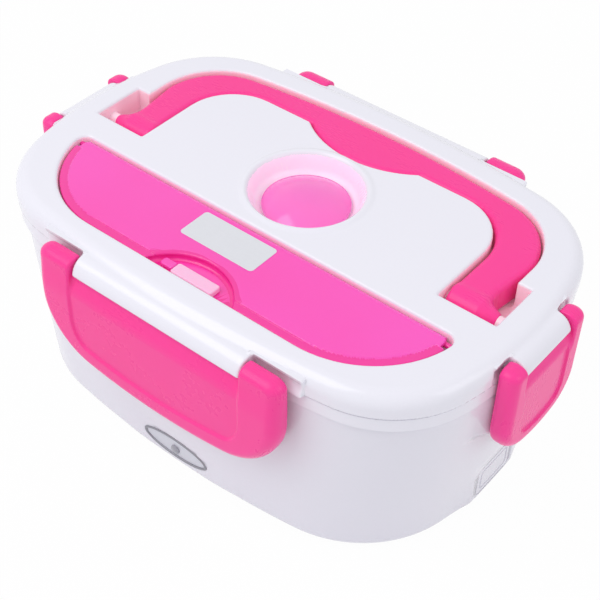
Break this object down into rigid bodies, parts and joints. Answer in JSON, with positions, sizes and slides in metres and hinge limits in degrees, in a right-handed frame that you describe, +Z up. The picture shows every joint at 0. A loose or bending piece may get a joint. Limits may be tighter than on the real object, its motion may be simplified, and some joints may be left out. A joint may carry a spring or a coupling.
{
  "type": "electric lunch box",
  "caption": "Oval electric lunch box with lift-off latched lid, bail handle, hinged spoon pocket cover, steam vent plug, food container and heated base.",
  "frame": {"origin": "centre of the footprint, on the plane of the rubber feet", "axes": "+X along the length towards the power inlet end, +Y from the lamp side to the back, +Z up"},
  "size_m": [0.2318, 0.1698, 0.0887],
  "materials": {
    "white_shell": "glossy moulded white",
    "white_inner": "satin moulded white",
    "pink_plastic": "glossy hot pink",
    "cover_plastic": "translucent magenta pink",
    "plug_plastic": "translucent pink",
    "tongue_plastic": "pale pink",
    "dish_plastic": "satin pink",
    "silicone": "soft white silicone",
    "black_rubber": "matt dark rubber",
    "black_plastic": "satin black",
    "silver_panel": "silver paint",
    "clear_lens": "clear",
    "board": "green circuit board",
    "steel": "plain steel",
    "alloy": "turned aluminium",
    "brass": "bright brass",
    "ceramic": "unglazed",
    "insulation": "fibre sleeve"
  },
  "bodies": {
    "base": {"base_shell": "white_shell", "tub": "white_shell", "bottom_cover": "white_inner", "bottom_screws": "steel", "rubber_feet": "black_rubber", "heater_plate": "alloy", "ptc_heater": "ceramic", "heater_clamp": "steel", "clamp_screws": "steel", "thermostat": "black_plastic", "thermal_fuse": "ceramic", "power_inlet": "black_plastic", "inlet_pins": "brass", "lamp_bezel": "silver_panel", "lamp_lens": "clear_lens", "lamp_board": "board", "wiring": "insulation"},
    "container": {"food_container": "white_inner"},
    "dish": {"side_dish": "dish_plastic"},
    "lid": {"lid_shell": "white_shell", "lid_liner": "white_inner", "lid_seal": "silicone", "handle_pins": "steel", "cover_pins": "steel", "latch_pins": "steel"},
    "vent": {"vent_plug": "plug_plastic", "vent_seal": "silicone"},
    "carry_handle": {"handle": "pink_plastic"},
    "pocket_cover": {"spoon_cover": "cover_plastic", "cover_tongue": "tongue_plastic"},
    "spoon": {"spoon": "pink_plastic"},
    "front_latch": {"latch_front": "pink_plastic"},
    "back_latch": {"latch_back": "pink_plastic"},
    "left_latch": {"latch_left": "pink_plastic"},
    "right_latch": {"latch_right": "pink_plastic"}
  },
  "joints": [
    {"name": "lid_lift", "type": "slide", "parent": "base", "child": "lid", "axis": [0, 0, 1], "range_m": [0, 0.16]},
    {"name": "container_lift", "type": "slide", "parent": "base", "child": "container", "axis": [0, 0, 1], "range_m": [0, 0.08]},
    {"name": "dish_lift", "type": "slide", "parent": "container", "child": "dish", "axis": [0, 0, 1], "range_m": [0, 0.05]},
    {"name": "handle_swing", "type": "hinge", "parent": "lid", "child": "carry_handle", "pos_m": [0, 0.0005, 0.0814], "axis": [1, 0, 0], "range_deg": [0, 95]},
    {"name": "cover_hinge", "type": "hinge", "parent": "lid", "child": "pocket_cover", "pos_m": [0, -0.0231, 0.0848], "axis": [-1, 0, 0], "range_deg": [0, 90]},
    {"name": "spoon_lift", "type": "slide", "parent": "lid", "child": "spoon", "axis": [0, 0, 1], "range_m": [0, 0.0126]},
    {"name": "vent_lift", "type": "slide", "parent": "lid", "child": "vent", "axis": [0, 0, 1], "range_m": [0, 0.02]},
    {"name": "front_latch_hinge", "type": "hinge", "parent": "lid", "child": "front_latch", "pos_m": [0, -0.0719, 0.082], "axis": [-1, 0, 0], "range_deg": [0, 100]},
    {"name": "back_latch_hinge", "type": "hinge", "parent": "lid", "child": "back_latch", "pos_m": [0, 0.0719, 0.082], "axis": [1, 0, 0], "range_deg": [0, 100]},
    {"name": "right_latch_hinge", "type": "hinge", "parent": "lid", "child": "right_latch", "pos_m": [0.1071, 0, 0.082], "axis": [0, -1, 0], "range_deg": [0, 100]},
    {"name": "left_latch_hinge", "type": "hinge", "parent": "lid", "child": "left_latch", "pos_m": [-0.1071, 0, 0.082], "axis": [0, 1, 0], "range_deg": [0, 100]}
  ],
  "couplings": [
    {"joint": "container_lift", "follows": "lid_lift", "ratio": 0.5},
    {"joint": "dish_lift", "follows": "lid_lift", "ratio": 0.3125},
    {"joint": "spoon_lift", "follows": "cover_hinge", "m_per_rad": 0.008}
  ]
}
